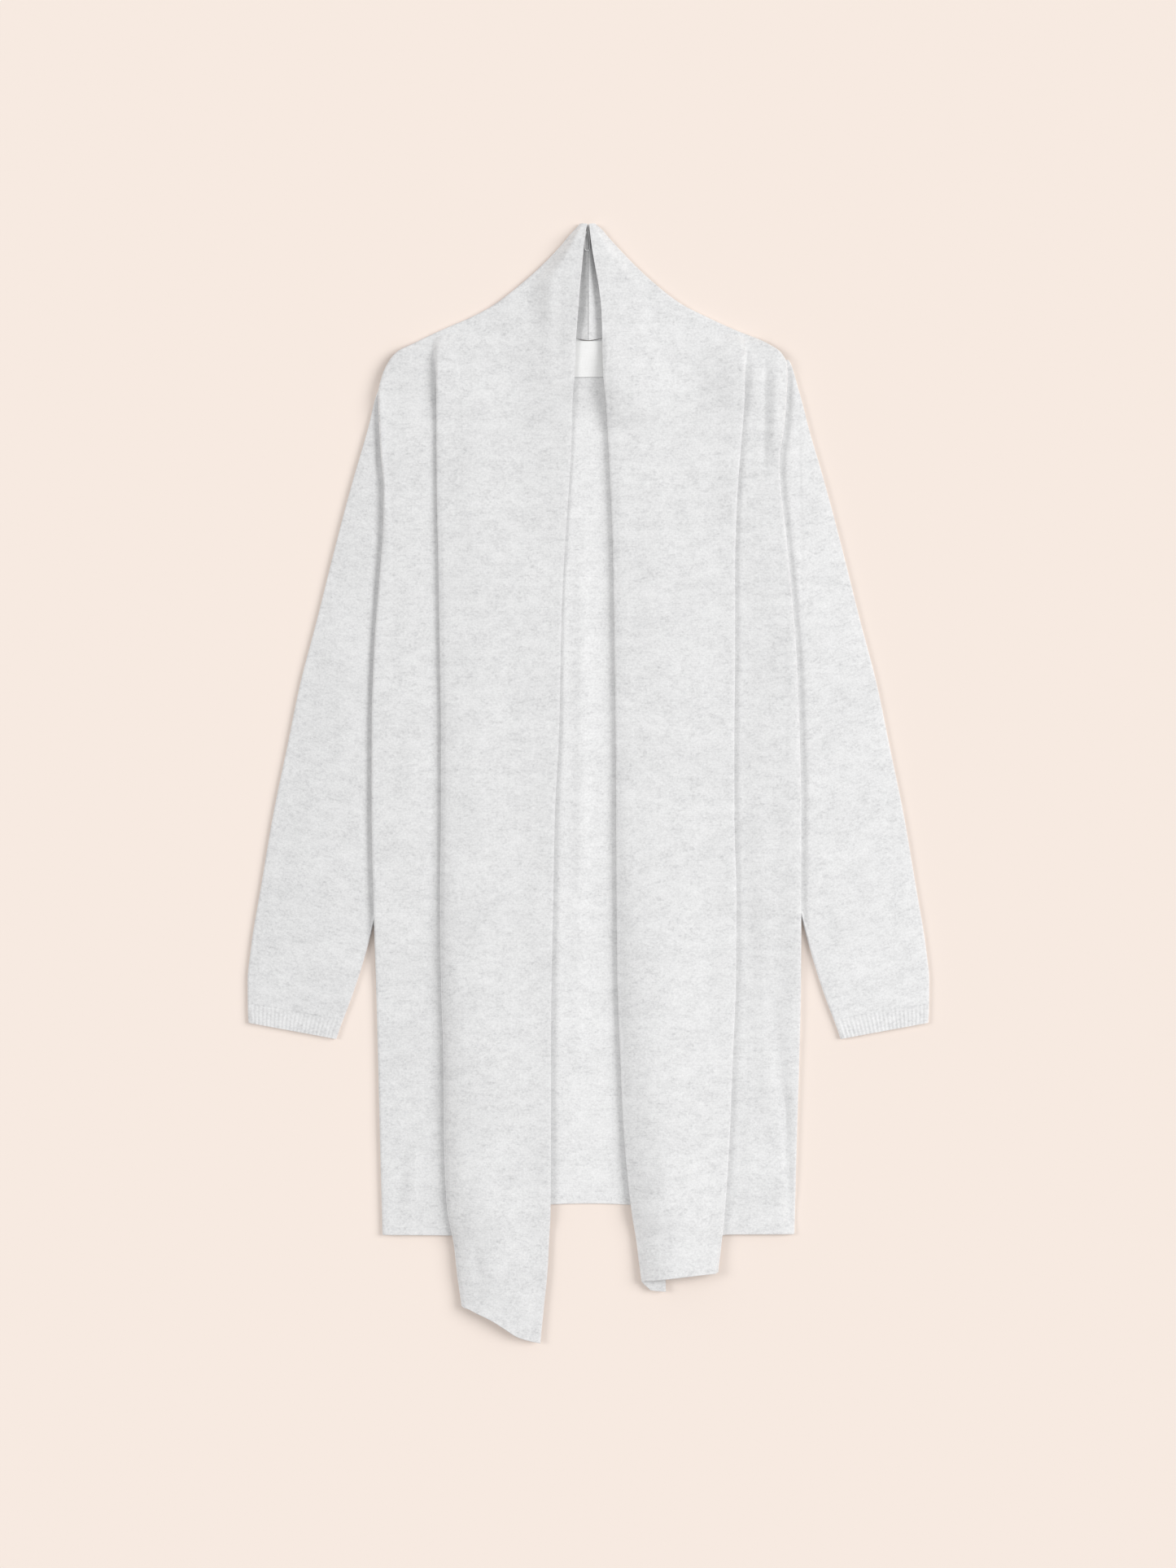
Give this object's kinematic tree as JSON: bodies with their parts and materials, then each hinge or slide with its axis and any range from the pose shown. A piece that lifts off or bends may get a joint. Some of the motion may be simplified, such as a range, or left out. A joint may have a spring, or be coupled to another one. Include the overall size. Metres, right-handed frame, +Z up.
{
  "type": "shawl collar jacket",
  "caption": "Long open-front knitted jacket with a shawl collar, pleated waterfall fronts and ribbed cuffs, laid flat with its front up.",
  "frame": {"origin": "centre of the bounding box, on the surface the garment lies on", "axes": "+X across the garment, +Y up to the collar's peak, +Z up from the surface to the garment's front"},
  "size_m": [0.628, 1.0314, 0.0132],
  "materials": {
    "knit_back": "soft matt fine knit, heather grey",
    "knit_front_left": "soft matt fine knit, heather grey",
    "knit_front_right": "soft matt fine knit, heather grey",
    "knit_sleeve_left": "soft matt fine knit, heather grey",
    "knit_sleeve_right": "soft matt fine knit, heather grey",
    "rib_cuff_left": "soft ribbed knit, heather grey",
    "rib_cuff_right": "soft ribbed knit, heather grey",
    "label_tape": "bare white woven tape",
    "loop_cord": "thin knitted cord, heather grey"
  },
  "bodies": {
    "root": {"back": "knit_back", "front_left": "knit_front_left", "front_right": "knit_front_right", "sleeve_left": "knit_sleeve_left", "sleeve_right": "knit_sleeve_right", "cuff_left": "rib_cuff_left", "cuff_right": "rib_cuff_right", "label": "label_tape", "hanger_loop": "loop_cord"}
  },
  "joints": []
}
